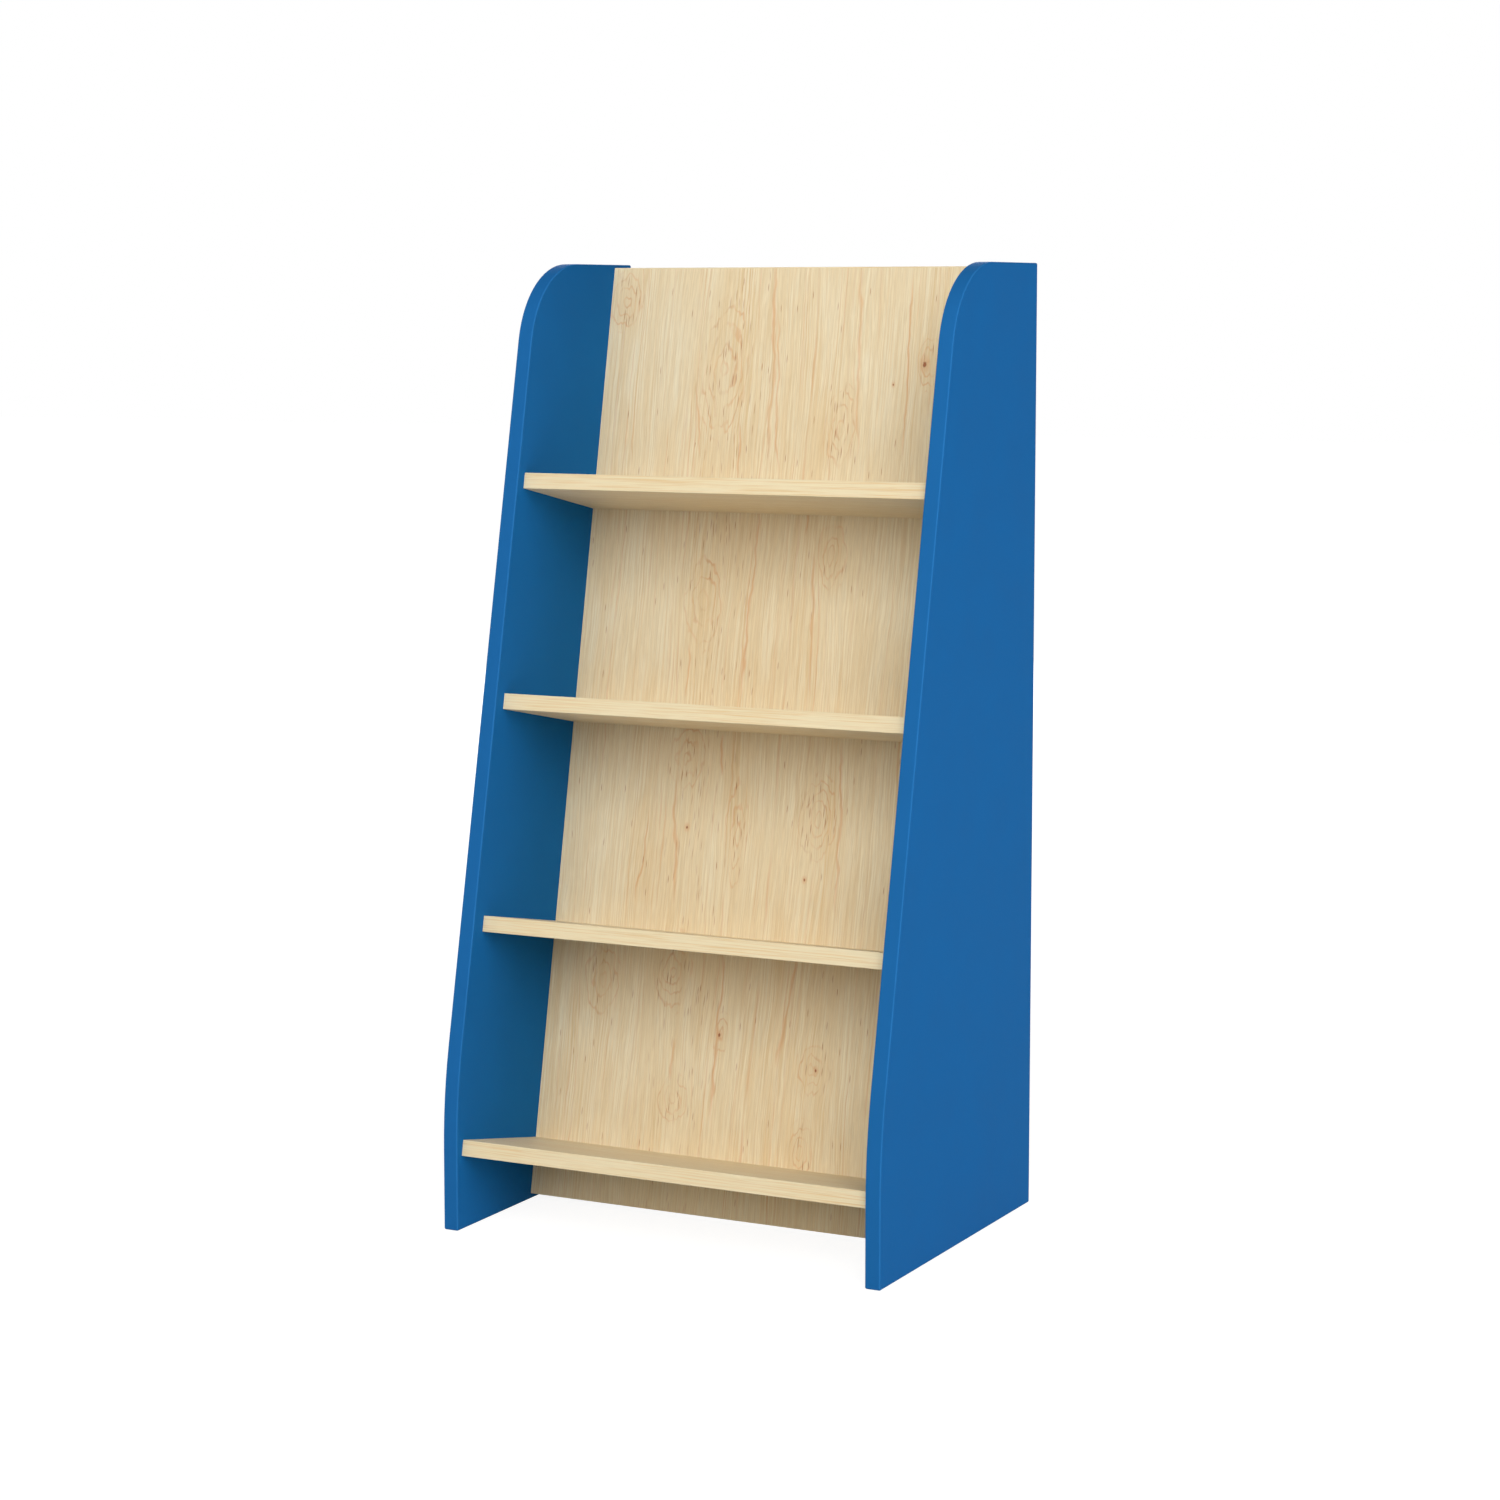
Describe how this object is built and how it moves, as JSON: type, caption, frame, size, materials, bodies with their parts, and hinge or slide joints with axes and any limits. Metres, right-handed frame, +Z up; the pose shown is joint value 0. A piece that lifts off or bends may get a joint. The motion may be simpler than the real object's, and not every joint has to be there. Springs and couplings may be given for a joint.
{
  "type": "angled bookcase",
  "caption": "Freestanding display bookcase: profiled side boards carry shelves tipped back square to a back panel that leans away, so books stand face out",
  "frame": {"origin": "on the floor, at the middle of the footprint", "axes": "+X across the shelves from the left side to the right side seen from the front, +Y towards the rear, +Z up"},
  "size_m": [0.75, 0.57, 1.5],
  "materials": {
    "blue_board": "wood board faced with satin blue laminate",
    "blue_edging": "satin blue edge strip with a rounded arris",
    "maple_board": "maple face with fine grain, clear satin coat",
    "maple_edging": "pale maple edge strip, clear satin coat",
    "dowel_wood": "plain turned hardwood",
    "screw_steel": "bright zinc plate",
    "cap_plastic": "maple coloured moulded plastic"
  },
  "bodies": {
    "root": {"left_side_board": "blue_board", "left_side_front_edging": "blue_edging", "left_side_rear_edging": "blue_edging", "left_side_base_edging": "blue_edging", "right_side_board": "blue_board", "right_side_front_edging": "blue_edging", "right_side_rear_edging": "blue_edging", "right_side_base_edging": "blue_edging", "shelf_1_board": "maple_board", "shelf_1_edging": "maple_edging", "shelf_2_board": "maple_board", "shelf_2_edging": "maple_edging", "shelf_3_board": "maple_board", "shelf_3_edging": "maple_edging", "shelf_4_board": "maple_board", "shelf_4_edging": "maple_edging", "back_panel_board": "maple_board", "back_panel_top_edging": "maple_edging", "back_panel_base_edging": "maple_edging", "shelf_dowels": "dowel_wood", "back_panel_dowels": "dowel_wood", "shelf_screws": "screw_steel", "screw_caps": "cap_plastic"}
  },
  "joints": []
}
